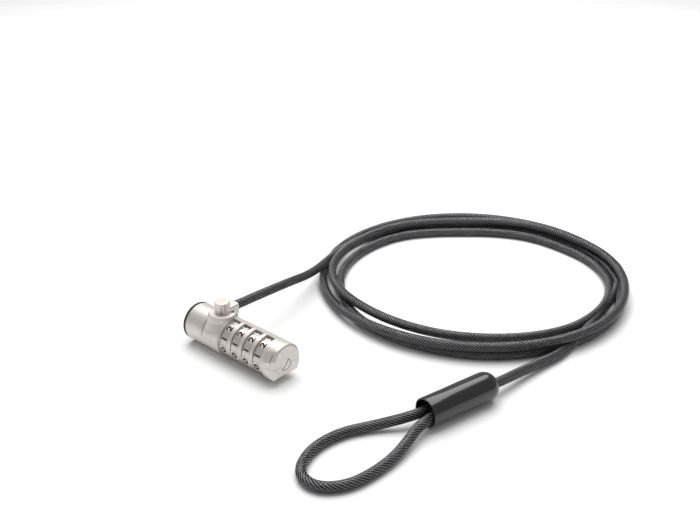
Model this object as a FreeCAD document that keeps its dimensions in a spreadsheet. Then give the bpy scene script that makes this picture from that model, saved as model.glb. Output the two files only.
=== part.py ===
import FreeCAD, Part
import Sketcher
import math
import os

# Laptop cable lock: a round die-cast body with four number dials, a T-bar nose that turns in a
# laptop's security slot, a release button in the far end and a coated steel cable on a swivelling
# terminal.  The cable lies coiled on the table and ends in an eye held by a covered crimp sleeve.
#
# Lock frame: X runs along the body from the washer face (x = 0) to the button end, the dials are
# read from -Y, the cable leaves towards +Y, and the lock frame's origin is on the body's axis.

vec = FreeCAD.Vector
doc = FreeCAD.newDocument("cable_lock")

SIZES = [
    # body
    ("body_radius", 8.0),
    ("body_length", 52.2),
    ("axis_height", 8.0),
    ("washer_thickness", 1.0),
    ("washer_hole_radius", 3.6),
    ("collar_end", 11.5),
    ("shell_gap", 0.35),
    ("seam_gap", 0.1),
    # T-bar nose and its cam
    ("tbar_reach", 3.5),
    ("tbar_head_thickness", 1.4),
    ("tbar_head_width", 2.6),
    ("tbar_head_radius", 3.1),
    ("tbar_neck_radius", 1.3),
    ("tbar_bore_radius", 1.65),
    ("tbar_bore_start", 4.4),
    ("cam_start", 3.1),
    ("cam_end", 9.4),
    ("cam_radius", 2.95),
    ("cam_pin_radius", 0.5),
    ("cam_pin_position", 8.2),
    ("cam_pin_half_length", 2.6),
    ("cam_slot_radius", 0.67),
    ("slot_pin_radius", 0.65),
    ("slot_pin_offset", 2.5),
    ("slot_pin_reach", 1.7),
    ("slot_pin_root", 2.4),
    # chambers inside the body
    ("neck_bore_radius", 1.37),
    ("cam_room_start", 3.0),
    ("cam_room_end", 9.6),
    ("cam_room_radius", 3.05),
    ("rod_bore_radius", 1.62),
    ("spring_room_start", 11.2),
    ("spring_room_radius", 3.2),
    ("dial_room_start", 21.15),
    ("dial_room_end", 46.6),
    ("dial_room_radius", 7.75),
    ("dial_side_gap", 0.15),
    ("core_radius", 4.85),
    ("button_room_start", 47.2),
    ("button_room_end", 50.6),
    ("button_room_radius", 3.75),
    ("button_bore_radius", 2.55),
    # dials and code sleeves
    ("first_dial", 24.3),
    ("dial_pitch", 6.37),
    ("dial_width", 4.4),
    ("dial_radius", 7.6),
    ("dial_bevel", 0.4),
    ("dial_bevel_drop", 0.35),
    ("grip_width", 0.9),
    ("grip_depth", 0.22),
    ("sleeve_radius", 4.55),
    ("dial_bore_radius", 4.57),
    ("sleeve_half_length", 2.85),
    ("sleeve_room_radius", 3.2),
    ("web_start", -2.45),
    ("web_end", -1.35),
    ("gate_width", 1.7),
    ("window_start", 82.0),
    ("window_sweep", 186.0),
    # rod, button and spring
    ("rod_radius", 1.55),
    ("rod_nose", 7.2),
    ("rod_end", 49.5),
    ("rod_collar_start", 18.7),
    ("rod_collar_end", 19.7),
    ("rod_collar_radius", 2.9),
    ("fin_radius", 2.9),
    ("fin_width", 1.2),
    ("fin_start", -1.2),
    ("fin_length", 0.8),
    ("travel", 2.2),
    ("button_flange_end", 50.5),
    ("button_flange_radius", 3.6),
    ("button_face", 52.1),
    ("button_radius", 2.37),
    ("button_slot_width", 0.55),
    ("button_slot_depth", 0.3),
    ("spring_start", 11.5),
    ("spring_length", 6.6),
    ("spring_mean_radius", 2.4),
    ("spring_wire_radius", 0.25),
    ("spring_pitch", 1.48),
    # end facets
    ("facet_distance", 7.15),
    ("facet_length", 4.4),
    ("facet_tilt", 33.0),
    ("facet_taper", 9.0),
    ("side_distance", 6.0),
    ("side_taper", 22.0),
    ("under_distance", 4.4),
    ("under_taper", 36.0),
    ("end_groove_start", 50.1),
    ("end_groove_width", 0.5),
    ("end_groove_distance", 7.0),
    # body around the dials, set up and back from the axis so that the dials stand out of it
    ("shoulder_start", 20.4),
    ("shoulder_radius", 7.75),
    ("shoulder_y", 0.25),
    ("shoulder_z", 0.75),
    # edge rounding
    ("collar_edge_radius", 0.6),
    ("end_edge_radius", 1.1),
    ("boss_edge_radius", 0.5),
    # boss and swivelling cable terminal
    ("boss_position", 16.1),
    ("boss_top", 10.0),
    ("boss_waist", 7.2),
    ("boss_foot", 3.8),
    ("boss_top_radius", 5.6),
    ("boss_waist_radius", 6.3),
    ("boss_foot_radius", 7.7),
    ("swivel_hole_floor", 4.4),
    ("swivel_hole_radius", 2.05),
    ("relief_floor", 7.4),
    ("relief_inner_radius", 3.4),
    ("relief_outer_radius", 9.5),
    ("relief_start_angle", 28.0),
    ("relief_sweep", 124.0),
    ("shank_radius", 2.0),
    ("shank_foot", 4.5),
    ("groove_radius", 1.4),
    ("groove_low", 7.35),
    ("groove_high", 8.65),
    ("post_radius", 3.1),
    ("post_foot", 10.1),
    ("post_top", 14.7),
    ("post_slot_width", 0.8),
    ("post_slot_depth", 0.7),
    ("post_edge_radius", 0.3),
    ("socket_half_width", 2.8),
    ("socket_low", 7.7),
    ("socket_start", 3.6),
    ("socket_end", 6.4),
    ("socket_top", 12.2),
    ("socket_edge_radius", 0.8),
    ("retaining_pin_radius", 0.5),
    ("retaining_pin_tip", 1.8),
    ("retaining_pin_head", 5.95),
    ("retaining_pin_height", 8.0),
    ("retaining_pin_angle", -48.0),
    # cable and its fittings
    ("cable_radius", 2.0),
    ("coil_centre_x", 31.25),
    ("coil_centre_y", 119.0),
    ("coil_hole_radius", 55.0),
    ("coil_hole_shift", 2.9),
    ("coil_outer_radius", 71.6),
    ("coil_height", 8.4),
    ("coil_edge", 2.4),
    ("cover_length", 33.0),
    ("cover_radius", 5.2),
    ("cover_bore_radius", 4.55),
    ("cover_dome", 3.2),
    ("cover_dome_radius", 3.4),
    ("cover_hole_radius", 2.0),
    ("crimp_start", 9.0),
    ("crimp_length", 13.4),
    ("crimp_half_width", 4.35),
    ("crimp_half_height", 2.45),
    ("leg_offset", 2.15),
]

sheet = doc.addObject("Spreadsheet::Sheet", "Sizes")
for row, (alias, value) in enumerate(SIZES, start=1):
    sheet.set(f"A{row}", alias)
    sheet.set(f"B{row}", str(value))
    sheet.setAlias(f"B{row}", alias)
doc.recompute()


def size(alias):
    return float(getattr(sheet, alias))


def bind(obj, prop, expression):
    obj.setExpression(prop, expression)


LOCK_X = "-(Sizes.body_length - Sizes.tbar_reach) / 2"
LOCK_Z = "Sizes.axis_height"


def place_in_lock(obj):
    """Stands a finished piece, drawn in the lock frame, in the row's frame."""
    bind(obj, "Placement.Base.x", LOCK_X)
    bind(obj, "Placement.Base.z", LOCK_Z)


# ---------------------------------------------------------------- solids along the body's axis

AXIS_X = FreeCAD.Rotation(vec(0, 1, 0), 90)
AXIS_Y = FreeCAD.Rotation(vec(1, 0, 0), -90)


def rod_x(name, radius, start, end, y="0", z="0"):
    """A cylinder along X from start to end."""
    solid = doc.addObject("Part::Cylinder", name)
    solid.Placement = FreeCAD.Placement(vec(0, 0, 0), AXIS_X)
    bind(solid, "Radius", radius)
    bind(solid, "Height", f"({end}) - ({start})")
    bind(solid, "Placement.Base.x", start)
    bind(solid, "Placement.Base.y", y)
    bind(solid, "Placement.Base.z", z)
    return solid


def rod_z(name, radius, low, high, x="0", y="0"):
    """A cylinder along Z from low to high."""
    solid = doc.addObject("Part::Cylinder", name)
    bind(solid, "Radius", radius)
    bind(solid, "Height", f"({high}) - ({low})")
    bind(solid, "Placement.Base.x", x)
    bind(solid, "Placement.Base.y", y)
    bind(solid, "Placement.Base.z", low)
    return solid


def block(name, x, y, z):
    """A box; x, y and z are (low, high) pairs of expressions."""
    solid = doc.addObject("Part::Box", name)
    for side, axis, (low, high) in (("Length", "x", x), ("Width", "y", y), ("Height", "z", z)):
        bind(solid, side, f"({high}) - ({low})")
        bind(solid, f"Placement.Base.{axis}", low)
    return solid


def cone_z(name, low_radius, high_radius, low, high, x):
    solid = doc.addObject("Part::Cone", name)
    bind(solid, "Radius1", low_radius)
    bind(solid, "Radius2", high_radius)
    bind(solid, "Height", f"({high}) - ({low})")
    bind(solid, "Placement.Base.x", x)
    bind(solid, "Placement.Base.z", low)
    return solid


def fuse(name, solids):
    joined = doc.addObject("Part::MultiFuse", name)
    joined.Shapes = solids
    joined.Refine = True
    return joined


def cut(name, base, tool):
    left = doc.addObject("Part::Cut", name)
    left.Base = base
    left.Tool = tool
    left.Refine = True
    return left


def common(name, first, second):
    shared = doc.addObject("Part::Common", name)
    shared.Base = first
    shared.Tool = second
    return shared


def keep(obj, node):
    """Names a finished piece that already stands in the row's frame."""
    obj.Label = node
    nodes.append(obj)
    return obj


def label(obj, node):
    """Names a finished piece drawn in the lock frame and stands it in the row's frame."""
    place_in_lock(obj)
    return keep(obj, node)


nodes = []


# ---------------------------------------------------------------- bodies with sketches


def body(name):
    return doc.addObject("PartDesign::Body", name)


def plane(owner, role):
    return next(f for f in owner.Origin.OriginFeatures if f.Role == role)


def sketch_on(owner, name, role, offset=None):
    sketch = owner.newObject("Sketcher::SketchObject", name)
    sketch.AttachmentSupport = (plane(owner, role), [""])
    sketch.MapMode = "FlatFace"
    if offset:
        bind(sketch, "AttachmentOffset.Base.z", offset)
    return sketch


def evaluate(expression):
    """The present value of an expression over the sheet's sizes."""
    return float(sheet.evalExpression(expression))


def held(sketch, kind, edge, point, expression):
    """Holds one coordinate of a vertex at an expression's value, measured from the origin."""
    index = sketch.addConstraint(
        Sketcher.Constraint(kind, -1, 1, edge, point, evaluate(expression))
    )
    bind(sketch, f"Constraints[{index}]", expression)


def outline(sketch, corners):
    """A closed straight-sided outline with every corner held by two expressions."""
    spots = [vec(evaluate(a), evaluate(b), 0) for a, b in corners]
    count = len(spots)
    first = sketch.GeometryCount
    for i in range(count):
        sketch.addGeometry(Part.LineSegment(spots[i], spots[(i + 1) % count]), False)
    for i in range(count):
        follower = first + (i + 1) % count
        sketch.addConstraint(Sketcher.Constraint("Coincident", first + i, 2, follower, 1))
    for i, (a, b) in enumerate(corners):
        held(sketch, "DistanceX", first + i, 1, a)
        held(sketch, "DistanceY", first + i, 1, b)


def circle(sketch, radius):
    edge = sketch.addGeometry(Part.Circle(vec(0, 0, 0), vec(0, 0, 1), evaluate(radius)), False)
    sketch.addConstraint(Sketcher.Constraint("Coincident", edge, 3, -1, 1))
    index = sketch.addConstraint(Sketcher.Constraint("Radius", edge, evaluate(radius)))
    bind(sketch, f"Constraints[{index}]", radius)


def pad(owner, name, sketch, length, reverse=False):
    feature = owner.newObject("PartDesign::Pad", name)
    feature.Profile = (sketch, [""])
    feature.Reversed = reverse
    bind(feature, "Length", length)
    return feature


def pocket(owner, name, sketch, length, reverse=False):
    feature = owner.newObject("PartDesign::Pocket", name)
    feature.Profile = (sketch, [""])
    feature.Reversed = reverse
    bind(feature, "Length", length)
    return feature


def turned(owner, name, corners):
    """A solid of revolution about X; corners are (x, radius) pairs."""
    sketch = sketch_on(owner, f"{name}_profile", "XZ_Plane")
    outline(sketch, corners)
    feature = owner.newObject("PartDesign::Revolution", name)
    feature.Profile = (sketch, [""])
    feature.ReferenceAxis = (sketch, ["H_Axis"])
    feature.Angle = 360
    return feature


def rounded(name, base, radius, chosen):
    """Rounds the edges of a solid that the test picks."""
    doc.recompute()
    numbers = [i for i, edge in enumerate(base.Shape.Edges, start=1) if chosen(edge)]
    if not numbers:
        raise RuntimeError(f"{name}: no edge to round")
    fillet = doc.addObject("Part::Fillet", name)
    fillet.Base = base
    fillet.Edges = [(number, size(radius), size(radius)) for number in numbers]
    doc.recompute()
    if fillet.Shape.isNull() or not fillet.Shape.isValid():
        raise RuntimeError(f"{name}: rounding failed")
    return fillet


def across_x(edge, position):
    """True for an edge lying in the plane x = position."""
    return abs(edge.BoundBox.XMin - position) < 1e-4 and abs(edge.BoundBox.XMax - position) < 1e-4


# ---------------------------------------------------------------- body shells

DIALS = 4
chambers = [
    ("neck_bore", "Sizes.neck_bore_radius", "-1", "Sizes.cam_room_start + 0.1"),
    ("cam_room", "Sizes.cam_room_radius", "Sizes.cam_room_start", "Sizes.cam_room_end"),
    ("rod_bore", "Sizes.rod_bore_radius", "Sizes.cam_room_end - 0.1", "Sizes.button_room_start + 0.1"),
    ("spring_room", "Sizes.spring_room_radius", "Sizes.spring_room_start", "Sizes.dial_room_start + 0.1"),
    ("core", "Sizes.core_radius", "Sizes.dial_room_start", "Sizes.dial_room_end"),
    ("button_room", "Sizes.button_room_radius", "Sizes.button_room_start", "Sizes.button_room_end"),
    ("button_bore", "Sizes.button_bore_radius", "Sizes.button_room_end - 0.1", "Sizes.body_length + 1"),
]


def dial_span(number):
    """Where one dial's room begins and ends along the body."""
    middle = f"Sizes.first_dial + {number} * Sizes.dial_pitch"
    half = "(Sizes.dial_width / 2 + Sizes.dial_side_gap)"
    return f"{middle} - {half}", f"{middle} + {half}"


def reading_window(name, start, end):
    """The sector through which a dial is read and turned, open from the top down to the table."""
    sector = rod_x(name, "Sizes.body_radius + 2", start, end)
    turn = FreeCAD.Rotation(vec(0, 0, 1), size("window_start") + 90)
    sector.Placement.Rotation = AXIS_X.multiply(turn)
    bind(sector, "Angle", "Sizes.window_sweep")
    return sector


def end_cut(name, angle, distance, taper):
    """A box that planes the end of the body off at a slope.

    The plane faces outwards at an angle about X (0 towards +Y, 90 up), crosses the end face at the
    given distance from the axis and widens by the taper angle towards the dials.
    """
    tool = doc.addObject("Part::Box", name)
    bind(tool, "Length", "Sizes.facet_length + 6")
    bind(tool, "Width", "Sizes.body_radius * 3")
    bind(tool, "Height", "Sizes.body_radius")
    spin = FreeCAD.Rotation(vec(1, 0, 0), angle - 90)
    lean = FreeCAD.Rotation(vec(0, 1, 0), size(taper))
    turn = spin.multiply(lean)
    outward = vec(0, math.cos(math.radians(angle)), math.sin(math.radians(angle)))
    corner = turn.multVec(vec(size("facet_length") + 4, size("body_radius") * 1.5, 0))
    edge = vec(size("body_length"), 0, 0) + outward * size(distance)
    tool.Placement = FreeCAD.Placement(edge - corner, turn)
    return tool


def end_groove(name):
    """A narrow groove beside the upper facet that sets the end block off from the shell."""
    tool = doc.addObject("Part::Box", name)
    bind(tool, "Length", "Sizes.end_groove_width")
    bind(tool, "Width", "Sizes.facet_length")
    bind(tool, "Height", "Sizes.body_radius")
    angle = 180 - size("facet_tilt")
    spin = FreeCAD.Rotation(vec(1, 0, 0), angle - 90)
    outward = vec(0, math.cos(math.radians(angle)), math.sin(math.radians(angle)))
    corner = spin.multVec(vec(0, size("facet_length") / 2, 0))
    foot = vec(size("end_groove_start"), 0, 0) + outward * size("end_groove_distance")
    tool.Placement = FreeCAD.Placement(foot - corner, spin)
    return tool


def hollow(tag):
    """Everything taken out of both shells."""
    tools = [rod_x(f"{tag}_{name}", radius, start, end) for name, radius, start, end in chambers]
    for number in range(DIALS):
        start, end = dial_span(number)
        tools.append(rod_x(f"{tag}_dial_room_{number + 1}", "Sizes.dial_room_radius", start, end))
        tools.append(reading_window(f"{tag}_window_{number + 1}", start, end))
    tools.append(end_groove(f"{tag}_groove"))
    return tools


# The outside of the body, before it is parted into shells: a round barrel that is set up and
# back from the axis along the dials, planed off and rounded at the button end.
barrel = rod_x("barrel", "Sizes.body_radius", "Sizes.washer_thickness", "Sizes.dial_room_start")
end_barrel = rod_x("end_barrel", "Sizes.body_radius", "Sizes.dial_room_end", "Sizes.body_length")
shoulder = rod_x(
    "shoulder",
    "Sizes.shoulder_radius",
    "Sizes.shoulder_start",
    "Sizes.body_length",
    y="Sizes.shoulder_y",
    z="Sizes.shoulder_z",
)
back_round = rod_x("back_round", "Sizes.body_radius", "Sizes.dial_room_start", "Sizes.dial_room_end")
back_half = block(
    "back_half",
    ("Sizes.dial_room_start", "Sizes.dial_room_end"),
    ("0", "Sizes.body_radius + 1"),
    ("-Sizes.body_radius - 1", "Sizes.body_radius + 1"),
)
back = common("back", back_round, back_half)
end_cuts = [
    end_cut("end_facet", 180 - size("facet_tilt"), "facet_distance", "facet_taper"),
    end_cut("end_side", 180, "side_distance", "side_taper"),
    end_cut("end_under", 270, "under_distance", "under_taper"),
]
outside = fuse("outside_whole", [fuse("barrel_and_shoulder", [barrel, end_barrel, shoulder]), back])
for tool in end_cuts:
    outside = cut(f"{tool.Name}_cut", outside, tool)
outside = rounded(
    "collar_round",
    outside,
    "collar_edge_radius",
    lambda edge: across_x(edge, size("washer_thickness")),
)
outside = rounded(
    "end_round",
    outside,
    "end_edge_radius",
    lambda edge: across_x(edge, size("body_length")),
)

# Lower shell: the full-round collar at the laptop end and the lower half of the rest.
lower_half = block(
    "lower_half",
    ("0", "Sizes.body_length + 1"),
    ("-Sizes.body_radius - 2", "Sizes.body_radius + 2"),
    ("-Sizes.body_radius - 2", "-Sizes.seam_gap / 2"),
)
collar_half = block(
    "collar_half",
    ("0", "Sizes.collar_end"),
    ("-Sizes.body_radius - 2", "Sizes.body_radius + 2"),
    ("-1", "Sizes.body_radius + 2"),
)
lower_blank = common("lower_blank", outside, fuse("lower_keep", [lower_half, collar_half]))
lower_tools = hollow("lower")
for side, sign in (("near", "-"), ("far", "")):
    lower_tools.append(
        rod_x(
            f"slot_pin_hole_{side}",
            "Sizes.slot_pin_radius",
            "0",
            "Sizes.slot_pin_root",
            y=f"{sign}Sizes.slot_pin_offset",
        )
    )
lower_shell = cut("lower_cut", lower_blank, fuse("lower_tools", lower_tools))
label(lower_shell, "lower_shell")

# Upper shell: the upper half behind the collar, with the boss that carries the cable terminal.
upper_half = block(
    "upper_half",
    ("Sizes.collar_end + Sizes.shell_gap", "Sizes.body_length + 1"),
    ("-Sizes.body_radius - 2", "Sizes.body_radius + 2"),
    ("Sizes.seam_gap / 2", "Sizes.body_radius + 2"),
)
upper_half_round = common("upper_half_round", outside, upper_half)
boss_foot = cone_z(
    "boss_foot_cone",
    "Sizes.boss_foot_radius",
    "Sizes.boss_waist_radius",
    "Sizes.boss_foot",
    "Sizes.boss_waist",
    "Sizes.boss_position",
)
boss_head = cone_z(
    "boss_head_cone",
    "Sizes.boss_waist_radius",
    "Sizes.boss_top_radius",
    "Sizes.boss_waist",
    "Sizes.boss_top",
    "Sizes.boss_position",
)
boss_room = block(
    "boss_room",
    ("Sizes.collar_end + Sizes.shell_gap", "Sizes.body_length"),
    ("-Sizes.body_radius", "Sizes.body_radius"),
    ("0.5", "Sizes.body_radius + 4"),
)
boss = common("boss", fuse("boss_cones", [boss_foot, boss_head]), boss_room)
upper_blank = fuse("upper_blank", [upper_half_round, boss])
relief_sector = rod_z(
    "relief_sector",
    "Sizes.relief_outer_radius",
    "Sizes.relief_floor",
    "Sizes.boss_top + 1",
    x="Sizes.boss_position",
)
relief_sector.Placement.Rotation = FreeCAD.Rotation(vec(0, 0, 1), size("relief_start_angle"))
bind(relief_sector, "Angle", "Sizes.relief_sweep")
relief_core = rod_z(
    "relief_core",
    "Sizes.relief_inner_radius",
    "Sizes.relief_floor - 1",
    "Sizes.boss_top + 2",
    x="Sizes.boss_position",
)
relief = cut("relief", relief_sector, relief_core)
swivel_hole = rod_z(
    "swivel_hole",
    "Sizes.swivel_hole_radius",
    "Sizes.swivel_hole_floor",
    "Sizes.boss_top + 1",
    x="Sizes.boss_position",
)


def radial_pin(name, radius, start, end, shift_x="0", shift_z="0"):
    """A pin lying in the boss, pointing at the swivel axis."""
    solid = doc.addObject("Part::Cylinder", name)
    angle = math.radians(size("retaining_pin_angle"))
    direction = vec(math.cos(angle), math.sin(angle), 0)
    bind(solid, "Radius", radius)
    bind(solid, "Height", f"({end}) - ({start})")
    solid.Placement.Rotation = FreeCAD.Rotation(vec(0, 0, 1), direction)
    bind(
        solid,
        "Placement.Base.x",
        f"{shift_x} + Sizes.boss_position + ({start}) * cos(Sizes.retaining_pin_angle * 1deg)",
    )
    bind(solid, "Placement.Base.y", f"({start}) * sin(Sizes.retaining_pin_angle * 1deg)")
    bind(solid, "Placement.Base.z", f"{shift_z} + Sizes.retaining_pin_height")
    return solid


pin_hole = radial_pin("pin_hole", "Sizes.retaining_pin_radius", "1.5", "8")
upper_blank = rounded(
    "boss_edge_round",
    upper_blank,
    "boss_edge_radius",
    lambda edge: abs(edge.BoundBox.ZMin - size("boss_top")) < 1e-4,
)
upper_tools = hollow("upper")
upper_tools += [swivel_hole, pin_hole]
upper_shell = cut("upper_cut", upper_blank, fuse("upper_tools", upper_tools))
upper_shell = cut("upper_relieved", upper_shell, relief)
label(upper_shell, "upper_shell")

# Cushioning washer on the face that meets the laptop.
face_washer = body("washer_body")
washer_sketch = sketch_on(face_washer, "washer_sketch", "YZ_Plane")
circle(washer_sketch, "Sizes.body_radius")
circle(washer_sketch, "Sizes.washer_hole_radius")
pad(face_washer, "washer_pad", washer_sketch, "Sizes.washer_thickness")
label(face_washer, "face_washer")

# Two pins that fill the laptop's slot either side of the T-bar's neck.
for side, sign in (("near", "-"), ("far", "")):
    slot_pin = rod_x(
        f"slot_pin_{side}_rod",
        "Sizes.slot_pin_radius",
        f"{LOCK_X} - Sizes.slot_pin_reach",
        f"{LOCK_X} + Sizes.slot_pin_root",
        y=f"{sign}Sizes.slot_pin_offset",
        z=LOCK_Z,
    )
    keep(slot_pin, f"slot_pin_{side}")

# ---------------------------------------------------------------- T-bar, rod and button

# The T-bar: a cross head on a neck, and behind the nose wall a cam drum whose helical slots
# take the rod's cross pin, so that pushing the rod in gives the head a quarter turn.
head_block = block(
    "head_block",
    ("-Sizes.tbar_reach", "-Sizes.tbar_reach + Sizes.tbar_head_thickness"),
    ("-Sizes.tbar_head_width / 2", "Sizes.tbar_head_width / 2"),
    ("-Sizes.tbar_head_radius", "Sizes.tbar_head_radius"),
)
head_round = rod_x("head_round", "Sizes.tbar_head_radius", "-Sizes.tbar_reach", "0")
tbar_blank = fuse(
    "tbar_blank",
    [
        common("tbar_head", head_block, head_round),
        rod_x("tbar_neck", "Sizes.tbar_neck_radius", "-Sizes.tbar_reach + 0.5", "Sizes.cam_start + 0.1"),
        rod_x("cam_drum", "Sizes.cam_radius", "Sizes.cam_start", "Sizes.cam_end"),
    ],
)
CAM_STEPS = 10
QUARTER_TURN = 90.0
cam_tools = [rod_x("cam_bore", "Sizes.tbar_bore_radius", "Sizes.tbar_bore_start", "Sizes.cam_end + 1")]
for step in range(CAM_STEPS):
    share = step / (CAM_STEPS - 1)
    turn = FreeCAD.Rotation(vec(1, 0, 0), -QUARTER_TURN * share)
    slot = rod_z(f"cam_slot_{step}", "Sizes.cam_slot_radius", "-Sizes.body_radius", "Sizes.body_radius")
    for axis in "yz":
        slot.setExpression(f"Placement.Base.{axis}", None)
    middle = vec(size("cam_pin_position") - size("travel") * share, 0, 0)
    slot.Placement = FreeCAD.Placement(middle - turn.multVec(vec(0, 0, size("body_radius"))), turn)
    bind(slot, "Placement.Base.x", f"Sizes.cam_pin_position - Sizes.travel * {share:.4f}")
    cam_tools.append(slot)
label(cut("tbar_cut", tbar_blank, fuse("cam_tools", cam_tools)), "t_bar")

cam_pin = rod_z(
    "cam_pin_rod",
    "Sizes.cam_pin_radius",
    f"{LOCK_Z} - Sizes.cam_pin_half_length",
    f"{LOCK_Z} + Sizes.cam_pin_half_length",
    x=f"{LOCK_X} + Sizes.cam_pin_position",
)
keep(cam_pin, "cam_pin")

# The rod: a long spindle with a spring collar and a row of four fins, one to each code sleeve.
rod = body("rod_body")
turned(
    rod,
    "rod_turned",
    [
        ("Sizes.rod_nose", "0"),
        ("Sizes.rod_nose", "Sizes.rod_radius"),
        ("Sizes.rod_collar_start", "Sizes.rod_radius"),
        ("Sizes.rod_collar_start", "Sizes.rod_collar_radius"),
        ("Sizes.rod_collar_end", "Sizes.rod_collar_radius"),
        ("Sizes.rod_collar_end", "Sizes.rod_radius"),
        ("Sizes.rod_end", "Sizes.rod_radius"),
        ("Sizes.rod_end", "0"),
    ],
)
fin_sketch = sketch_on(rod, "fin_sketch", "YZ_Plane", "Sizes.first_dial + Sizes.fin_start")
outline(
    fin_sketch,
    [
        ("-Sizes.fin_width / 2", "0.5"),
        ("Sizes.fin_width / 2", "0.5"),
        ("Sizes.fin_width / 2", "Sizes.fin_radius"),
        ("-Sizes.fin_width / 2", "Sizes.fin_radius"),
    ],
)
fin = pad(rod, "fin_pad", fin_sketch, "Sizes.fin_length")
fins = rod.newObject("PartDesign::LinearPattern", "fins")
fins.Originals = [fin]
fins.Direction = (fin_sketch, ["N_Axis"])
bind(fins, "Length", f"{DIALS - 1} * Sizes.dial_pitch")
fins.Occurrences = DIALS
rod.Tip = fins
pin_seat = rod_z(
    "pin_seat",
    "Sizes.cam_pin_radius",
    "-Sizes.cam_pin_half_length",
    "Sizes.cam_pin_half_length",
    x="Sizes.cam_pin_position",
)
label(cut("rod_cut", rod, pin_seat), "release_rod")

# The release button: a flanged disc with a tool slot, seated in the recess of the end face.
button = body("button_body")
turned(
    button,
    "button_turned",
    [
        ("Sizes.rod_end", "0"),
        ("Sizes.rod_end", "Sizes.button_flange_radius"),
        ("Sizes.button_flange_end", "Sizes.button_flange_radius"),
        ("Sizes.button_flange_end", "Sizes.button_radius"),
        ("Sizes.button_face", "Sizes.button_radius"),
        ("Sizes.button_face", "0"),
    ],
)
slot_sketch = sketch_on(button, "slot_sketch", "YZ_Plane", "Sizes.button_face")
outline(
    slot_sketch,
    [
        ("-Sizes.button_slot_width / 2", "-Sizes.button_flange_radius"),
        ("Sizes.button_slot_width / 2", "-Sizes.button_flange_radius"),
        ("Sizes.button_slot_width / 2", "Sizes.button_flange_radius"),
        ("-Sizes.button_slot_width / 2", "Sizes.button_flange_radius"),
    ],
)
pocket(button, "button_slot", slot_sketch, "Sizes.button_slot_depth")
button.Placement.Rotation = FreeCAD.Rotation(vec(1, 0, 0), -42)
label(button, "release_button")

# The return spring between the wall behind the cam and the rod's collar.
spring_path = doc.addObject("Part::Helix", "spring_path")
spring_path.Placement = FreeCAD.Placement(vec(0, 0, 0), AXIS_X)
bind(spring_path, "Pitch", "Sizes.spring_pitch")
bind(spring_path, "Height", "Sizes.spring_length")
bind(spring_path, "Radius", "Sizes.spring_mean_radius")
bind(spring_path, "Placement.Base.x", "Sizes.spring_start + Sizes.spring_wire_radius")
spring_wire = doc.addObject("Part::Circle", "spring_wire")
bind(spring_wire, "Radius", "Sizes.spring_wire_radius")
spring_wire.Placement = FreeCAD.Placement(vec(0, 0, 0), FreeCAD.Rotation(vec(0, 0, 1), vec(0, 1, 0)))
bind(spring_wire, "Placement.Base.x", "Sizes.spring_start + Sizes.spring_wire_radius")
bind(spring_wire, "Placement.Base.z", "-Sizes.spring_mean_radius")
spring = doc.addObject("Part::Sweep", "spring_sweep")
spring.Sections = [spring_wire]
spring.Spine = (spring_path, [])
spring.Solid = True
spring.Frenet = True
label(spring, "return_spring")

# ---------------------------------------------------------------- dials and code sleeves

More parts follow.
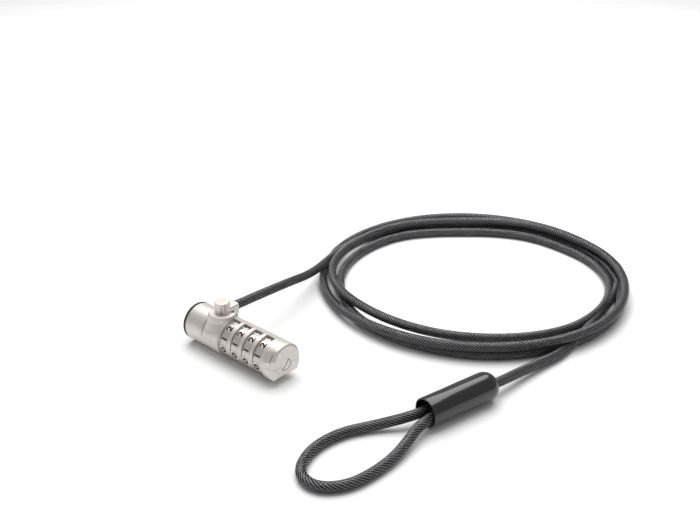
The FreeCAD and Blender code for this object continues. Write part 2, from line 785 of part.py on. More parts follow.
GRIP_TURN = 10.0
GRIPS = 10
for number in range(DIALS):
    station = f"{LOCK_X} + Sizes.first_dial + {number} * Sizes.dial_pitch"

    dial = body(f"dial_body_{number + 1}")
    turned(
        dial,
        f"dial_ring_{number + 1}",
        [
            ("-Sizes.dial_width / 2", "Sizes.dial_bore_radius"),
            ("-Sizes.dial_width / 2", "Sizes.dial_radius - Sizes.dial_bevel_drop"),
            ("-Sizes.dial_width / 2 + Sizes.dial_bevel", "Sizes.dial_radius"),
            ("Sizes.dial_width / 2 - Sizes.dial_bevel", "Sizes.dial_radius"),
            ("Sizes.dial_width / 2", "Sizes.dial_radius - Sizes.dial_bevel_drop"),
            ("Sizes.dial_width / 2", "Sizes.dial_bore_radius"),
        ],
    )
    grip_sketch = sketch_on(dial, f"grip_sketch_{number + 1}", "YZ_Plane", "Sizes.dial_width / 2")
    outline(
        grip_sketch,
        [
            ("-Sizes.grip_width / 2", "Sizes.dial_radius - Sizes.grip_depth"),
            ("Sizes.grip_width / 2", "Sizes.dial_radius - Sizes.grip_depth"),
            ("Sizes.grip_width / 2", "Sizes.dial_radius + 0.5"),
            ("-Sizes.grip_width / 2", "Sizes.dial_radius + 0.5"),
        ],
    )
    grip = pocket(dial, f"grip_{number + 1}", grip_sketch, "Sizes.dial_width")
    grips = dial.newObject("PartDesign::PolarPattern", f"grips_{number + 1}")
    grips.Originals = [grip]
    grips.Axis = (grip_sketch, ["N_Axis"])
    grips.Angle = 360
    grips.Occurrences = GRIPS
    dial.Tip = grips
    dial.Placement.Rotation = FreeCAD.Rotation(vec(1, 0, 0), GRIP_TURN)
    bind(dial, "Placement.Base.x", station)
    bind(dial, "Placement.Base.z", LOCK_Z)
    keep(dial, f"dial_{number + 1}")

    sleeve = body(f"sleeve_body_{number + 1}")
    turned(
        sleeve,
        f"sleeve_tube_{number + 1}",
        [
            ("-Sizes.sleeve_half_length", "Sizes.sleeve_room_radius"),
            ("-Sizes.sleeve_half_length", "Sizes.sleeve_radius"),
            ("Sizes.sleeve_half_length", "Sizes.sleeve_radius"),
            ("Sizes.sleeve_half_length", "Sizes.sleeve_room_radius"),
            ("Sizes.web_end", "Sizes.sleeve_room_radius"),
            ("Sizes.web_end", "Sizes.rod_bore_radius"),
            ("Sizes.web_start", "Sizes.rod_bore_radius"),
            ("Sizes.web_start", "Sizes.sleeve_room_radius"),
        ],
    )
    gate_sketch = sketch_on(sleeve, f"gate_sketch_{number + 1}", "YZ_Plane", "Sizes.web_end")
    outline(
        gate_sketch,
        [
            ("-Sizes.gate_width / 2", "0.2"),
            ("Sizes.gate_width / 2", "0.2"),
            ("Sizes.gate_width / 2", "Sizes.sleeve_room_radius - 0.05"),
            ("-Sizes.gate_width / 2", "Sizes.sleeve_room_radius - 0.05"),
        ],
    )
    pocket(sleeve, f"gate_{number + 1}", gate_sketch, "Sizes.web_end - Sizes.web_start")
    bind(sleeve, "Placement.Base.x", station)
    bind(sleeve, "Placement.Base.z", LOCK_Z)
    keep(sleeve, f"code_sleeve_{number + 1}")

# ---------------------------------------------------------------- cable terminal

retaining_pin = radial_pin(
    "retaining_pin_rod",
    "Sizes.retaining_pin_radius",
    "Sizes.retaining_pin_tip",
    "Sizes.retaining_pin_head",
    shift_x=LOCK_X,
    shift_z=LOCK_Z,
)
keep(retaining_pin, "terminal_retaining_pin")

post = rod_z("post", "Sizes.post_radius", "Sizes.post_foot", "Sizes.post_top", x="Sizes.boss_position")
shank = rod_z(
    "shank", "Sizes.shank_radius", "Sizes.shank_foot", "Sizes.post_foot + 0.5", x="Sizes.boss_position"
)
socket = block(
    "socket",
    (
        "Sizes.boss_position - Sizes.socket_half_width",
        "Sizes.boss_position + Sizes.socket_half_width",
    ),
    ("Sizes.socket_start", "Sizes.socket_end"),
    ("Sizes.socket_low", "Sizes.socket_top"),
)
bridge = block(
    "bridge",
    (
        "Sizes.boss_position - Sizes.socket_half_width",
        "Sizes.boss_position + Sizes.socket_half_width",
    ),
    ("0", "Sizes.socket_start"),
    ("Sizes.post_foot", "Sizes.socket_top"),
)
neck = rounded(
    "neck_round",
    fuse("neck", [socket, bridge]),
    "socket_edge_radius",
    lambda edge: edge.BoundBox.YLength > 2
    and abs(edge.BoundBox.ZMin - size("socket_top")) < 1e-4
    and edge.BoundBox.XLength < 1e-4,
)
terminal_blank = fuse("terminal_blank", [post, shank, neck])
groove_ring = rod_z(
    "groove_ring",
    "Sizes.shank_radius + 1",
    "Sizes.groove_low",
    "Sizes.groove_high",
    x="Sizes.boss_position",
)
groove_core = rod_z(
    "groove_core",
    "Sizes.groove_radius",
    "Sizes.groove_low - 1",
    "Sizes.groove_high + 1",
    x="Sizes.boss_position",
)
post_slot = doc.addObject("Part::Box", "post_slot")
bind(post_slot, "Length", "Sizes.post_radius")
bind(post_slot, "Width", "Sizes.post_slot_width")
bind(post_slot, "Height", "Sizes.post_top - Sizes.post_foot - 1.2")
slot_turn = FreeCAD.Rotation(vec(0, 0, 1), size("retaining_pin_angle"))
slot_near = slot_turn.multVec(
    vec(size("post_radius") - size("post_slot_depth"), -size("post_slot_width") / 2, 0)
)
post_slot.Placement = FreeCAD.Placement(
    vec(size("boss_position"), 0, size("post_foot")) + slot_near, slot_turn
)
groove = cut("groove", groove_ring, groove_core)
terminal_cut = cut("terminal_cut", terminal_blank, fuse("terminal_tools", [groove, post_slot]))
doc.recompute()


def edges_at_top(obj, level, radius):
    """Numbers of the round edges of an object at one height and of one radius."""
    found = []
    for number, edge in enumerate(obj.Shape.Edges, start=1):
        flat = abs(edge.BoundBox.ZMin - level) < 1e-4 and abs(edge.BoundBox.ZMax - level) < 1e-4
        if flat and hasattr(edge.Curve, "Radius") and abs(edge.Curve.Radius - radius) < 1e-4:
            found.append(number)
    return found


terminal = doc.addObject("Part::Fillet", "terminal_round")
terminal.Base = terminal_cut
top_edges = edges_at_top(terminal_cut, size("post_top"), size("post_radius"))
terminal.Edges = [(number, size("post_edge_radius"), size("post_edge_radius")) for number in top_edges]
label(terminal, "cable_terminal")

# ---------------------------------------------------------------- cable and eye fittings


def rounded_path(corners):
    """Straight runs through the corners, each corner turned by a tangent arc."""
    points = [vec(*corner) for corner in corners]
    pieces = []
    start = points[0]
    radii = []
    for before, corner, after in zip(points, points[1:], points[2:]):
        inward = (before - corner).normalize()
        outward = (after - corner).normalize()
        half_turn = (math.pi - inward.getAngle(outward)) / 2
        shorter = min(corner.distanceToPoint(before), corner.distanceToPoint(after))
        radius = 0.45 * shorter / math.tan(half_turn)
        trim = radius * math.tan(half_turn)
        entry = corner + inward * trim
        leave = corner + outward * trim
        bisector = (inward + outward).normalize()
        middle = corner + bisector * (radius / math.cos(half_turn) - radius)
        pieces.append(Part.makeLine(start, entry))
        pieces.append(Part.Arc(entry, middle, leave).toShape())
        radii.append(radius)
        start = leave
    pieces.append(Part.makeLine(start, points[-1]))
    return Part.Wire(pieces), radii


def cable(node, corners):
    """One stretch of the coated cable as a swept round section."""
    wire, radii = rounded_path(corners)
    path = doc.addObject("Part::Feature", f"{node}_path")
    path.Shape = wire
    first = vec(*corners[0])
    heading = (vec(*corners[1]) - first).normalize()
    section = doc.addObject("Part::Circle", f"{node}_section")
    bind(section, "Radius", "Sizes.cable_radius")
    section.Placement = FreeCAD.Placement(first, FreeCAD.Rotation(vec(0, 0, 1), heading))
    tube = doc.addObject("Part::Sweep", f"{node}_sweep")
    tube.Sections = [section]
    tube.Spine = (path, [])
    tube.Solid = True
    tube.Frenet = False
    keep(tube, node)
    doc.recompute()
    ideal = wire.Length * math.pi * size("cable_radius") ** 2
    print(node, "length", round(wire.Length, 1), "radii", [round(r, 1) for r in radii])
    print(node, "volume", round(tube.Shape.Volume, 1), "section x length", round(ideal, 1))


LEAD = [
    (-8.25, 6.4, 18.0),
    (-8.8, 34.0, 16.8),
    (-18.0, 62.0, 8.4),
    (-31.0, 88.0, 3.0),
]
TAIL = [
    (100.6, 114.0, 2.05),
    (99.1, 94.0, 2.05),
    (95.2, 70.0, 2.9),
    (93.6, 48.8, 5.2),
    (91.0, 36.4, 5.2),
]
EYE = [
    (86.0, 23.2, 5.2),
    (83.2, 10.0, 5.0),
    (73.6, -1.5, 2.1),
    (67.4, -12.5, 2.05),
    (66.3, -26.5, 2.05),
    (71.9, -38.5, 2.05),
    (81.9, -40.5, 2.05),
    (90.0, -31.5, 2.05),
    (91.6, -15.0, 2.1),
    (90.2, -3.0, 3.2),
    (87.3, 9.2, 5.0),
    (90.2, 22.3, 5.2),
]
cable("cable_lead", LEAD)
cable("cable_tail", TAIL)
cable("cable_eye", EYE)

# The turns lying on the table, as one ring with the outer shape of the pile.  The innermost turn
# bows in at the back, so the hole sits a little towards the reader's side.
pile = body("pile_body")
turned_up = sketch_on(pile, "pile_sketch", "XZ_Plane")
outline(
    turned_up,
    [
        ("0", "0"),
        ("Sizes.coil_outer_radius - Sizes.coil_edge / 2", "0"),
        ("Sizes.coil_outer_radius", "Sizes.coil_edge / 2"),
        ("Sizes.coil_outer_radius", "Sizes.coil_height - Sizes.coil_edge"),
        ("Sizes.coil_outer_radius - Sizes.coil_edge", "Sizes.coil_height"),
        ("0", "Sizes.coil_height"),
    ],
)
pile_disc = pile.newObject("PartDesign::Revolution", "pile_disc")
pile_disc.Profile = (turned_up, [""])
pile_disc.ReferenceAxis = (turned_up, ["V_Axis"])
pile_disc.Angle = 360
pile_hole = cone_z(
    "pile_hole",
    "Sizes.coil_hole_radius",
    "Sizes.coil_hole_radius + Sizes.coil_edge",
    "-0.1",
    "Sizes.coil_height + 0.1",
    "Sizes.coil_hole_shift",
)
bind(pile_hole, "Placement.Base.y", "-Sizes.coil_hole_shift")
coil = cut("coil_cut", pile, pile_hole)
bind(coil, "Placement.Base.x", "Sizes.coil_centre_x")
bind(coil, "Placement.Base.y", "Sizes.coil_centre_y")
keep(coil, "cable_coil")

# The glossy cover over the crimp, open towards the eye, and the crimp sleeve inside it.
COVER_START = vec(92.85, 45.2, 5.2)
COVER_AXIS = vec(-0.21, -0.977, 0).normalize()
cover_frame = FreeCAD.Placement(COVER_START, FreeCAD.Rotation(vec(1, 0, 0), COVER_AXIS))
cover = body("cover_body")
turned(
    cover,
    "cover_turned",
    [
        ("0", "Sizes.cover_hole_radius + 0.3"),
        ("0", "Sizes.cover_dome_radius"),
        ("Sizes.cover_dome / 3", "Sizes.cover_dome_radius + 1.1"),
        ("Sizes.cover_dome", "Sizes.cover_radius"),
        ("Sizes.cover_length", "Sizes.cover_radius"),
        ("Sizes.cover_length", "Sizes.cover_bore_radius"),
        ("Sizes.cover_dome", "Sizes.cover_bore_radius"),
        ("Sizes.cover_dome / 2", "Sizes.cover_hole_radius + 0.3"),
    ],
)
cover.Placement = cover_frame
keep(cover, "crimp_cover")

crimp_core = block(
    "crimp_core",
    ("Sizes.crimp_start", "Sizes.crimp_start + Sizes.crimp_length"),
    (
        "-(Sizes.crimp_half_width - Sizes.crimp_half_height)",
        "Sizes.crimp_half_width - Sizes.crimp_half_height",
    ),
    ("-Sizes.crimp_half_height", "Sizes.crimp_half_height"),
)
crimp_sides = [
    rod_x(
        f"crimp_side_{side}",
        "Sizes.crimp_half_height",
        "Sizes.crimp_start",
        "Sizes.crimp_start + Sizes.crimp_length",
        y=f"{sign}(Sizes.crimp_half_width - Sizes.crimp_half_height)",
    )
    for side, sign in (("near", "-"), ("far", ""))
]
crimp = fuse("crimp_fused", [crimp_core] + crimp_sides)
crimp.Placement = cover_frame
keep(crimp, "crimp_sleeve")

# ---------------------------------------------------------------- checks and export

doc.recompute()
faults = [f"{o.Name}: {o.State}" for o in doc.Objects if "Invalid" in o.State or "Error" in o.State]
for piece in nodes:
    if piece.Shape.isNull() or not piece.Shape.isValid():
        faults.append(f"{piece.Label}: no valid shape")
    elif len(piece.Shape.Solids) != 1:
        faults.append(f"{piece.Label}: {len(piece.Shape.Solids)} solids")
if faults:
    raise RuntimeError("; ".join(faults))
os.makedirs("parts", exist_ok=True)
for piece in nodes:
    piece.Shape.exportStep(f"parts/{piece.Label}.step")
    box = piece.Shape.BoundBox
    print(
        f"{piece.Label:24s} volume {piece.Shape.Volume:10.1f}  x {box.XMin:7.2f} {box.XMax:7.2f}"
        f"  y {box.YMin:7.2f} {box.YMax:7.2f}  z {box.ZMin:6.2f} {box.ZMax:6.2f}"
    )
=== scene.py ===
import math

import bmesh
import bpy
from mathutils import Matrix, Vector


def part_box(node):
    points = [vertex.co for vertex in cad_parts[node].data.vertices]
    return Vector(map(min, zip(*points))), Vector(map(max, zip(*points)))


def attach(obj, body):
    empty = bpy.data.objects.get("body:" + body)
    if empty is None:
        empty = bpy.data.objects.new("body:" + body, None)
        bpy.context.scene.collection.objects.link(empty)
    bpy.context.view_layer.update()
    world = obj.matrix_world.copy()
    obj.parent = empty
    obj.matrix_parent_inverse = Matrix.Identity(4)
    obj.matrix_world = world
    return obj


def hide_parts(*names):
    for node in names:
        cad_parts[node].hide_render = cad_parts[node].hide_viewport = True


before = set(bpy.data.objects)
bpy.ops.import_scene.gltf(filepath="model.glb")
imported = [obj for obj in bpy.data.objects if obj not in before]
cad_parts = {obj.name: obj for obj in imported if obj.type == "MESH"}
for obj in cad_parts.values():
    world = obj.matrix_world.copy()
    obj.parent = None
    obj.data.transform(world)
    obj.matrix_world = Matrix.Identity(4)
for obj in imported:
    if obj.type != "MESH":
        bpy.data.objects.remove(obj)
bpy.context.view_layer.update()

MM = 0.001
TAU = 2 * math.pi
DIAL_NUMBERS = range(1, 5)

# Height of the body's axis.
AXIS_Z = (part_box("face_washer")[0][2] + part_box("face_washer")[1][2]) / 2


# ---------------------------------------------------------------- camera

CAMERA_AT = Vector((260.9, -221.5, 210.5)) * MM
CAMERA_AZIMUTH = math.radians(42.05)
CAMERA_PITCH = math.radians(26.46)
LENS = 50.2
SENSOR_WIDTH = 36
NEAREST_SEEN = 0.01

camera_data = bpy.data.cameras.new("camera")
camera_data.lens = LENS
camera_data.sensor_width = SENSOR_WIDTH
camera_data.clip_start = NEAREST_SEEN
camera = bpy.data.objects.new("camera", camera_data)
camera.location = CAMERA_AT
camera.rotation_euler = (math.pi / 2 - CAMERA_PITCH, 0, CAMERA_AZIMUTH)
bpy.context.scene.collection.objects.link(camera)
bpy.context.scene.camera = camera

# ---------------------------------------------------------------- cable route

CABLE_DIAMETER = 4.0 * MM
LEAD = [
    (-8.25, 6.4, 18.0),
    (-8.8, 34.0, 16.8),
    (-18.0, 62.0, 8.4),
]
TAIL = [
    (99.1, 94.0, 2.05),
    (95.2, 70.0, 2.9),
    (93.6, 48.8, 5.2),
    (91.0, 36.4, 5.2),
]
EYE = [
    (86.0, 23.2, 5.2),
    (83.2, 10.0, 5.0),
    (73.6, -1.5, 2.1),
    (67.4, -12.5, 2.05),
    (66.3, -26.5, 2.05),
    (71.9, -38.5, 2.05),
    (81.9, -40.5, 2.05),
    (90.0, -31.5, 2.05),
    (91.6, -15.0, 2.1),
    (90.2, -3.0, 3.2),
    (87.3, 9.2, 5.0),
    (90.2, 22.3, 5.2),
]
COIL_CENTRE = (31.25, 119.0)
COIL_START = 222.7
COIL_STEP = 18.0
CURVE_STEPS = 8
BEVEL_STEPS = 6

# The coil's own path: (degrees wound, radius, height), with smooth steps between the rows.
COIL = [
    (20, 68.5, 2.4),
    (90, 58.0, 2.05),
    (180, 66.6, 2.05),
    (235, 69.0, 2.05),
    (270, 69.6, 2.05),
    (310, 68.0, 2.05),
    (360, 61.6, 2.05),
    (400, 57.2, 2.05),
    (450, 49.8, 2.05),
    (495, 56.0, 2.05),
    (540, 62.4, 2.05),
    (590, 61.0, 3.0),
    (630, 59.0, 3.8),
    (675, 62.5, 6.0),
    (720, 66.3, 5.6),
    (765, 60.5, 5.8),
    (810, 54.6, 5.8),
    (855, 61.5, 6.0),
    (900, 67.8, 6.0),
    (950, 70.4, 6.1),
    (990, 70.2, 6.1),
    (1030, 70.2, 5.4),
    (1065, 70.2, 2.8),
    (1080, 70.0, 2.05),
    (1170, 69.8, 2.05),
    (1230, 70.4, 2.05),
    (1262, 71.0, 2.05),
]


def coil_at(angle):
    """Radius and height of the coiled cable at an angle, by smooth steps through COIL."""
    for (a0, r0, z0), (a1, r1, z1) in zip(COIL, COIL[1:]):
        if a0 <= angle <= a1:
            t = (angle - a0) / (a1 - a0)
            t = t * t * (3 - 2 * t)
            return r0 + (r1 - r0) * t, z0 + (z1 - z0) * t
    return COIL[-1][1:]


def coil_points():
    """Control points of the turns, set out a little wide because the spline runs inside them."""
    points = []
    wide = 1 / (0.75 + 0.25 * math.cos(math.radians(COIL_STEP)))
    count = int((COIL[-1][0] - COIL[0][0]) / COIL_STEP) + 1
    for i in range(count):
        angle = COIL[0][0] + i * COIL_STEP
        radius, height = coil_at(angle)
        turn = math.radians(COIL_START - angle)
        points.append(
            (
                COIL_CENTRE[0] + radius * wide * math.cos(turn),
                COIL_CENTRE[1] + radius * wide * math.sin(turn),
                height,
            )
        )
    return points


route = LEAD + coil_points() + TAIL + EYE


def nurbs(name, points, bevel):
    """A smooth open curve whose control points are the route's points, in millimetres."""
    data = bpy.data.curves.new(name, "CURVE")
    data.dimensions = "3D"
    data.resolution_u = CURVE_STEPS
    data.bevel_depth = bevel
    data.bevel_resolution = BEVEL_STEPS
    data.use_fill_caps = bevel > 0
    spline = data.splines.new("NURBS")
    spline.points.add(len(points) - 1)
    for point, (x, y, z) in zip(spline.points, points):
        point.co = (x * MM, y * MM, z * MM, 1)
    spline.order_u = 3
    spline.use_endpoint_u = True
    obj = bpy.data.objects.new(name, data)
    bpy.context.scene.collection.objects.link(obj)
    return obj


def centreline(obj):
    """The points of a curve's own line, as Blender evaluates it without its bevel."""
    plain = obj.data.copy()
    plain.bevel_depth = 0
    plain.use_fill_caps = False
    probe = bpy.data.objects.new("probe", plain)
    bpy.context.scene.collection.objects.link(probe)
    bpy.context.view_layer.update()
    mesh = bpy.data.meshes.new_from_object(probe.evaluated_get(bpy.context.evaluated_depsgraph_get()))
    points = [v.co.copy() for v in mesh.vertices]
    bpy.data.objects.remove(probe)
    return points


jacket = nurbs("cable_jacket", route, CABLE_DIAMETER / 2)
line = centreline(jacket)


SHORTEST_SPAN = 1e-9


def even_points(points, gap):
    """The same line as points a set distance apart."""
    out = [points[0]]
    carry = 0.0
    for a, b in zip(points, points[1:]):
        span = (b - a).length
        if span < SHORTEST_SPAN:
            continue
        at = gap - carry
        while at <= span:
            out.append(a.lerp(b, at / span))
            at += gap
        carry = span - (at - gap)
    return out


def frames(points):
    """A tangent and two cross directions at each point, carried along without twist."""
    tangents = []
    for i in range(len(points)):
        before = points[max(i - 1, 0)]
        after = points[min(i + 1, len(points) - 1)]
        tangents.append((after - before).normalized())
    side = tangents[0].orthogonal().normalized()
    out = []
    for i, tangent in enumerate(tangents):
        side = (side - tangent * side.dot(tangent)).normalized()
        out.append((tangent, side, tangent.cross(side)))
    return out


ROPE_RADIUS = 1.93 * MM
ROPE_LOBES = 10
ROPE_LAY = 15.6 * MM
ROPE_GAP = 0.6 * MM
LOBE_POINTS = 5
LOBE_DEPTH = 0.36 * MM


def rope(name, points):
    """Laid steel wires: a fluted section that turns as it runs along the cable.

    The mesh's groove mask holds 0 along the top of each wire and 1 in the groove beside it; the wire rope
    material paints shade into the grooves with it.
    """
    points = even_points(points, ROPE_GAP)
    around = ROPE_LOBES * LOBE_POINTS
    crest = [abs(math.sin(math.pi * ROPE_LOBES * k / around)) for k in range(around)]
    vertices = []
    for i, (point, (tangent, u, v)) in enumerate(zip(points, frames(points))):
        twist = TAU * i * ROPE_GAP / ROPE_LAY
        for k in range(around):
            radius = ROPE_RADIUS - LOBE_DEPTH * (1 - math.sqrt(crest[k]))
            turn = TAU * k / around + twist
            vertices.append(point + (u * math.cos(turn) + v * math.sin(turn)) * radius)
    faces = []
    for i in range(len(points) - 1):
        for k in range(around):
            n = (k + 1) % around
            faces.append((i * around + k, i * around + n, (i + 1) * around + n, (i + 1) * around + k))
    faces.append(tuple(reversed(range(around))))
    last = (len(points) - 1) * around
    faces.append(tuple(last + k for k in range(around)))
    mesh = bpy.data.meshes.new(name)
    mesh.from_pydata([tuple(p) for p in vertices], [], faces)
    mesh.polygons.foreach_set("use_smooth", [True] * len(mesh.polygons))
    # Mask that the wire rope material uses to paint shade into the grooves between the wires.
    groove_shade_mask = mesh.attributes.new("groove_shade_mask", "FLOAT", "POINT")
    groove_shade_mask.data.foreach_set("value", [1 - crest[k] for k in range(around)] * len(points))
    obj = bpy.data.objects.new(name, mesh)
    bpy.context.scene.collection.objects.link(obj)
    return obj


wire_rope = rope("cable_wire_rope", line)

# ---------------------------------------------------------------- materials


class Nodes:
    """Short ways to build a procedural material."""

    def __init__(self, name):
        self.material = bpy.data.materials.new(name)
        self.material.use_nodes = True
        self.tree = self.material.node_tree
        self.shader = self.tree.nodes["Principled BSDF"]

    def add(self, kind, **values):
        node = self.tree.nodes.new(kind)
        for key, value in values.items():
            setattr(node, key, value)
        return node

    def link(self, a, b):
        self.tree.links.new(a, b)

    def set(self, **values):
        for key, value in values.items():
            self.shader.inputs[key.replace("_", " ")].default_value = value

    def coords(self, stretch=(1, 1, 1)):
        object_place = self.add("ShaderNodeTexCoord").outputs["Object"]
        mapping = self.add("ShaderNodeMapping")
        mapping.inputs["Scale"].default_value = stretch
        self.link(object_place, mapping.inputs["Vector"])
        return mapping.outputs["Vector"]

    def noise(self, scale, detail=3.0, rough=0.55, stretch=(1, 1, 1)):
        node = self.add("ShaderNodeTexNoise")
        node.inputs["Scale"].default_value = scale
        node.inputs["Detail"].default_value = detail
        node.inputs["Roughness"].default_value = rough
        self.link(self.coords(stretch), node.inputs["Vector"])
        return node.outputs["Fac"]

    def ramp(self, value, low, high, start=0.3, end=0.7):
        """Maps a value to the range low..high."""
        node = self.add("ShaderNodeMapRange")
        node.inputs["From Min"].default_value = start
        node.inputs["From Max"].default_value = end
        node.inputs["To Min"].default_value = low
        node.inputs["To Max"].default_value = high
        self.link(value, node.inputs["Value"])
        return node.outputs["Result"]

    def blend(self, value, low, high, start=0.3, end=0.7):
        """A colour between two colours."""
        node = self.add("ShaderNodeValToRGB")
        node.color_ramp.elements[0].position = start
        node.color_ramp.elements[1].position = end
        node.color_ramp.elements[0].color = (*low, 1)
        node.color_ramp.elements[1].color = (*high, 1)
        self.link(value, node.inputs["Fac"])
        return node.outputs["Color"]

    def bump(self, height, distance, strength=1.0):
        node = self.add("ShaderNodeBump")
        node.inputs["Distance"].default_value = distance
        node.inputs["Strength"].default_value = strength
        self.link(height, node.inputs["Height"])
        self.link(node.outputs["Normal"], self.shader.inputs["Normal"])

    def colour(self, socket):
        self.link(socket, self.shader.inputs["Base Color"])

    def rough(self, socket):
        self.link(socket, self.shader.inputs["Roughness"])


def metal(name, low, high, rough_low, rough_high, grain, bump_height, stretch=(1, 1, 1), metallic=1.0):
    """Plated or machined metal with a fine grain and uneven polish."""
    m = Nodes(name)
    m.set(Metallic=metallic)
    cloud = m.noise(260, 4, 0.6)
    fine = m.noise(grain, 5, 0.6, stretch)
    m.colour(m.blend(cloud, low, high))
    m.rough(m.ramp(fine, rough_low, rough_high))
    m.bump(fine, bump_height)
    return m.material


nickel = metal(
    "satin_nickel", (0.60, 0.565, 0.53), (0.66, 0.625, 0.59), 0.40, 0.48, 2600, 0.000006, metallic=0.72
)
dial_metal = metal(
    "dial_nickel", (0.56, 0.52, 0.48), (0.64, 0.60, 0.56), 0.30, 0.38, 3200, 0.000006, metallic=0.85
)
steel = metal("hardened_steel", (0.50, 0.50, 0.51), (0.60, 0.60, 0.61), 0.2, 0.32, 3000, 0.00001, (6, 1, 1))
brass = metal("turned_brass", (0.55, 0.40, 0.16), (0.66, 0.50, 0.22), 0.22, 0.34, 2500, 0.00001, (1, 8, 8))
aluminium = metal("pressed_aluminium", (0.66, 0.67, 0.69), (0.74, 0.75, 0.77), 0.3, 0.45, 1800, 0.00002)


def rubber_material():
    """Matt black rubber of the washer."""
    m = Nodes("washer_rubber")
    fine = m.noise(4200, 4, 0.6)
    m.colour(m.blend(fine, (0.018, 0.018, 0.02), (0.035, 0.035, 0.037)))
    m.rough(m.ramp(fine, 0.55, 0.75))
    m.bump(fine, 0.00002)
    return m.material


def cover_material():
    """Glossy black plastic of the crimp cover."""
    m = Nodes("gloss_black")
    fine = m.noise(900, 3, 0.5)
    m.set(Coat_Weight=0.3, Coat_Roughness=0.05)
    m.colour(m.blend(fine, (0.006, 0.006, 0.006), (0.010, 0.010, 0.010)))
    m.rough(m.ramp(fine, 0.16, 0.22))
    m.bump(fine, 0.000003)
    return m.material


def rope_material():
    """Steel wires, with painted shade darkening the grooves between them."""
    m = Nodes("wire_rope")
    cloud = m.noise(420, 4, 0.6)
    fine = m.noise(5200, 3, 0.6)
    # Groove mask that places the painted shade between the wires.
    groove_shade_mask = m.add("ShaderNodeAttribute", attribute_name="groove_shade_mask").outputs["Fac"]
    wires = m.blend(cloud, (0.13, 0.13, 0.133), (0.20, 0.20, 0.205))
    # Blends the wire colour into a near-black painted shade in the grooves.
    mix = m.add("ShaderNodeMix", data_type="RGBA")
    m.link(m.ramp(groove_shade_mask, 0.0, 1.0, 0.1, 0.55), mix.inputs["Factor"])
    m.link(wires, mix.inputs[6])
    mix.inputs[7].default_value = (0.008, 0.008, 0.009, 1)
    m.set(Metallic=0.6)
    m.colour(mix.outputs[2])
    m.rough(m.ramp(fine, 0.28, 0.42))
    m.bump(fine, 0.00001)
    return m.material


def jacket_material():
    """Clear coating over the wires."""
    m = Nodes("clear_jacket")
    fine = m.noise(700, 2, 0.5)
    m.set(IOR=1.12, Transmission_Weight=1.0)
    m.colour(m.blend(fine, (0.93, 0.93, 0.94), (0.96, 0.96, 0.97)))
    m.rough(m.ramp(fine, 0.02, 0.05))
    m.bump(fine, 0.000004)
    return m.material


rubber = rubber_material()
gloss_black = cover_material()
rope_metal = rope_material()
clear = jacket_material()


def paint(obj, material):
    """Gives a piece one material."""
    obj.data.materials.clear()
    obj.data.materials.append(material)


NODE_MATERIALS = {
    "lower_shell": nickel,
    "upper_shell": nickel,
    "face_washer": rubber,
    "slot_pin_near": steel,
    "slot_pin_far": steel,
    "t_bar": steel,
    "cam_pin": steel,
    "release_rod": steel,
    "release_button": nickel,
    "return_spring": steel,
    "cable_terminal": nickel,
    "terminal_retaining_pin": steel,
    "crimp_sleeve": aluminium,
    "crimp_cover": gloss_black,
}
for number in DIAL_NUMBERS:
    NODE_MATERIALS[f"dial_{number}"] = dial_metal
    NODE_MATERIALS[f"code_sleeve_{number}"] = brass
for node, material in NODE_MATERIALS.items():
    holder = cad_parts[node]
    if holder.data.materials:
        for i in range(len(holder.data.materials)):
            holder.material_slots[i].material = material
    else:
        holder.data.materials.append(material)

# ---------------------------------------------------------------- crimp cover

COVER_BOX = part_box("crimp_cover")
COVER_SWELL = 0.6 * MM
COVER_OUTER = (COVER_BOX[1][2] - COVER_BOX[0][2]) / 2 + COVER_SWELL
COVER_START = Vector((92.85, 45.2, 5.9)) * MM
COVER_AXIS = Vector((-0.21, -0.977, 0)).normalized()
COVER_LENGTH = 33.0 * MM
COVER_TURNS = 96
COVER_HOLE = 2.15 * MM
COVER_WALL = 0.6 * MM
DOME_LENGTH = 4.6 * MM
DOME_FULLNESS = 0.8
HOLE_DEPTH = 0.5 * MM
MOUTH_TAPER = 0.985
TAPER_START = 0.45
TAPER_END = 0.7
DOME_STEPS = 14
RIM_STEPS = 6


def cover_profile():
    """(distance along the axis, radius) from the cable's hole over the dome to the inside."""
    swell = COVER_OUTER - COVER_HOLE
    profile = [(HOLE_DEPTH, COVER_HOLE)]
    for i in range(DOME_STEPS + 1):
        turn = math.pi / 2 * i / DOME_STEPS
        along = DOME_LENGTH * (1 - math.cos(turn))
        profile.append((along, COVER_HOLE + swell * math.sin(turn) ** DOME_FULLNESS))
    mouth = COVER_OUTER * MOUTH_TAPER
    profile.append((COVER_LENGTH * TAPER_START, COVER_OUTER))
    profile.append((COVER_LENGTH * TAPER_END, mouth))
    rim = COVER_WALL / 2
    for i in range(RIM_STEPS + 1):
        turn = math.pi * i / RIM_STEPS
        along = COVER_LENGTH - rim + rim * math.sin(turn)
        profile.append((along, mouth - rim + rim * math.cos(turn)))
    profile.append((DOME_LENGTH, COVER_OUTER - COVER_WALL))
    profile.append((DOME_LENGTH / 2, COVER_HOLE))
    return profile


def turned_mesh(name, start, axis, profile, count):
    """A mesh turned about an axis from (distance, radius) pairs, closed on itself."""
    side = axis.orthogonal().normalized()
    other = axis.cross(side)
    vertices = []
    for along, radius in profile:
        for k in range(count):
            turn = TAU * k / count
            vertices.append(start + axis * along + (side * math.cos(turn) + other * math.sin(turn)) * radius)
    rings = len(profile)
    faces = []
    for i in range(rings):
        j = (i + 1) % rings
        for k in range(count):
            n = (k + 1) % count
            faces.append((i * count + k, i * count + n, j * count + n, j * count + k))
    mesh = bpy.data.meshes.new(name)
    mesh.from_pydata([tuple(v) for v in vertices], [], faces)
    mesh.polygons.foreach_set("use_smooth", [True] * len(mesh.polygons))
    obj = bpy.data.objects.new(name, mesh)
    bpy.context.scene.collection.objects.link(obj)
    return obj


cover = turned_mesh("cover_shell", COVER_START, COVER_AXIS, cover_profile(), COVER_TURNS)
paint(cover, gloss_black)
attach(cover, "cable")
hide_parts("crimp_cover")
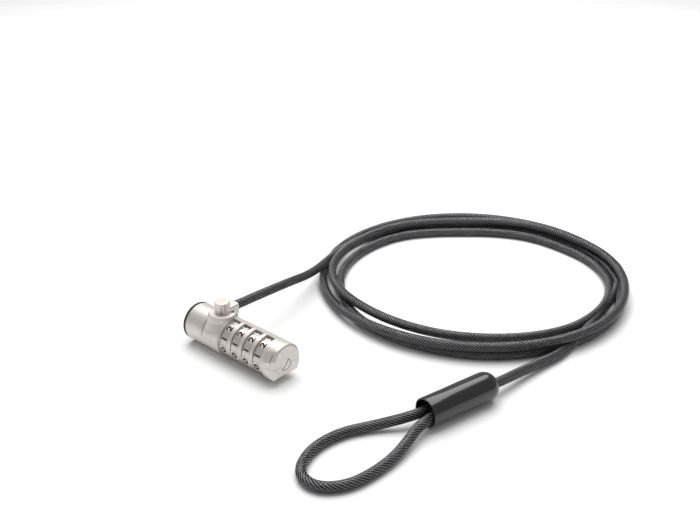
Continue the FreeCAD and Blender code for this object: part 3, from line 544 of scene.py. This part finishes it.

# ---------------------------------------------------------------- cable

paint(jacket, clear)
paint(wire_rope, rope_metal)
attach(jacket, "cable")
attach(wire_rope, "cable")
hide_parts("cable_lead", "cable_coil", "cable_tail", "cable_eye")

# ---------------------------------------------------------------- figures on the dials

FIGURES = "0123456789"
FIGURE_HEIGHT = 2.9 * MM
FIGURE_WIDTH = 2.5 * MM
STROKE = 0.62 * MM
FIGURE_STEP = 36.0
FIRST_FIGURE = -10.0
FIGURE_RISE = 0.045 * MM
FIGURE_BOLDNESS = 0.028
FIGURE_SMOOTHNESS = 6
SUBDIVISIONS = 2
DIAL_RADIUS = max((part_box("dial_1")[1][i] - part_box("dial_1")[0][i]) / 2 for i in (1, 2))


def bar_mesh():
    """The figure 1 as a plain bar."""
    x, y = STROKE / 2, FIGURE_HEIGHT / 2
    mesh = bpy.data.meshes.new("bar")
    mesh.from_pydata([(-x, -y, 0), (x, -y, 0), (x, y, 0), (-x, y, 0)], [], [(0, 1, 2, 3)])
    return mesh


def figure_mesh(text):
    """A figure as a flat filled mesh, centred on its own middle and drawn to the figures' size."""
    if text == "1":
        return bar_mesh()
    data = bpy.data.curves.new("figure", "FONT")
    data.body = text
    data.size = 1.0
    data.resolution_u = FIGURE_SMOOTHNESS
    data.offset = FIGURE_BOLDNESS
    obj = bpy.data.objects.new("figure", data)
    bpy.context.scene.collection.objects.link(obj)
    bpy.context.view_layer.update()
    mesh = bpy.data.meshes.new_from_object(obj.evaluated_get(bpy.context.evaluated_depsgraph_get()))
    bpy.data.objects.remove(obj)
    xs = [v.co.x for v in mesh.vertices]
    ys = [v.co.y for v in mesh.vertices]
    for v in mesh.vertices:
        v.co.x = (v.co.x - (min(xs) + max(xs)) / 2) * FIGURE_WIDTH / (max(xs) - min(xs))
        v.co.y = (v.co.y - (min(ys) + max(ys)) / 2) * FIGURE_HEIGHT / (max(ys) - min(ys))
    return mesh


def figures_for(number):
    """The ten filled figures round one dial, as one mesh that follows its curve."""
    low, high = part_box(f"dial_{number}")
    centre_x = (low[0] + high[0]) / 2
    bm = bmesh.new()
    for i, text in enumerate(FIGURES):
        mesh = figure_mesh(text)
        part = bmesh.new()
        part.from_mesh(mesh)
        for _ in range(SUBDIVISIONS):
            bmesh.ops.triangulate(part, faces=part.faces[:])
            bmesh.ops.subdivide_edges(part, edges=part.edges[:], cuts=1, use_grid_fill=True)
        theta = math.radians(FIRST_FIGURE + FIGURE_STEP * i)
        radius = DIAL_RADIUS + FIGURE_RISE
        for v in part.verts:
            around = theta + v.co.x / radius
            along = centre_x - v.co.y
            v.co = Vector((along, -radius * math.cos(around), AXIS_Z + radius * math.sin(around)))
        part.to_mesh(mesh)
        part.free()
        bm.from_mesh(mesh)
        bpy.data.meshes.remove(mesh)
    out = bpy.data.meshes.new(f"dial_figures_{number}")
    bm.to_mesh(out)
    bm.free()
    obj = bpy.data.objects.new(f"dial_figures_{number}", out)
    bpy.context.scene.collection.objects.link(obj)
    return obj


def ink_material():
    """Matt black filling of the figures."""
    m = Nodes("figure_ink")
    fine = m.noise(5000, 3, 0.6)
    m.colour(m.blend(fine, (0.004, 0.004, 0.004), (0.008, 0.008, 0.008)))
    m.set(Specular_IOR_Level=0.15)
    m.rough(m.ramp(fine, 0.55, 0.7))
    m.bump(fine, 0.000006)
    return m.material


ink = ink_material()
for number in DIAL_NUMBERS:
    figures = figures_for(number)
    paint(figures, ink)
    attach(figures, f"dial_{number}")

# ---------------------------------------------------------------- floor and light


FLOOR_REACH = 6.0
FLOOR_DROP = 0.1 * MM


def floor():
    """A wide white sheet a hair below the lowest point of the object."""
    mesh = bpy.data.meshes.new("floor")
    corners = [(-1, -1), (1, -1), (1, 1), (-1, 1)]
    mesh.from_pydata([(x * FLOOR_REACH, y * FLOOR_REACH, 0) for x, y in corners], [], [(0, 1, 2, 3)])
    obj = bpy.data.objects.new("floor", mesh)
    obj.location.z = -FLOOR_DROP
    bpy.context.scene.collection.objects.link(obj)
    m = Nodes("floor_white")
    fine = m.noise(30, 2, 0.5)
    m.colour(m.blend(fine, (0.86, 0.86, 0.86), (0.88, 0.88, 0.88)))
    m.set(Roughness=0.9)
    obj.data.materials.append(m.material)
    return obj


floor()


LAMP_AT = (-0.15, 0.25, 0.75)
LAMP_AIM = (0.03, 0.06, 0)
LAMP_SIZE = 0.9
LAMP_POWER = 9.5
WORLD_STRENGTH = 0.43
WHITE = (1, 1, 1, 1)


def lamp(name, place, aim, size, power):
    """A square area lamp turned towards a point."""
    data = bpy.data.lights.new(name, "AREA")
    data.shape = "RECTANGLE"
    data.size = size
    data.size_y = size
    data.energy = power
    obj = bpy.data.objects.new(name, data)
    obj.location = place
    obj.rotation_euler = (Vector(aim) - Vector(place)).to_track_quat("-Z", "Y").to_euler()
    bpy.context.scene.collection.objects.link(obj)


lamp("lamp_top", LAMP_AT, LAMP_AIM, LAMP_SIZE, LAMP_POWER)

world = bpy.data.worlds.new("studio")
world.use_nodes = True
background = world.node_tree.nodes["Background"]
background.inputs["Color"].default_value = WHITE
background.inputs["Strength"].default_value = WORLD_STRENGTH
bpy.context.scene.world = world
bpy.context.scene.view_settings.view_transform = "Standard"
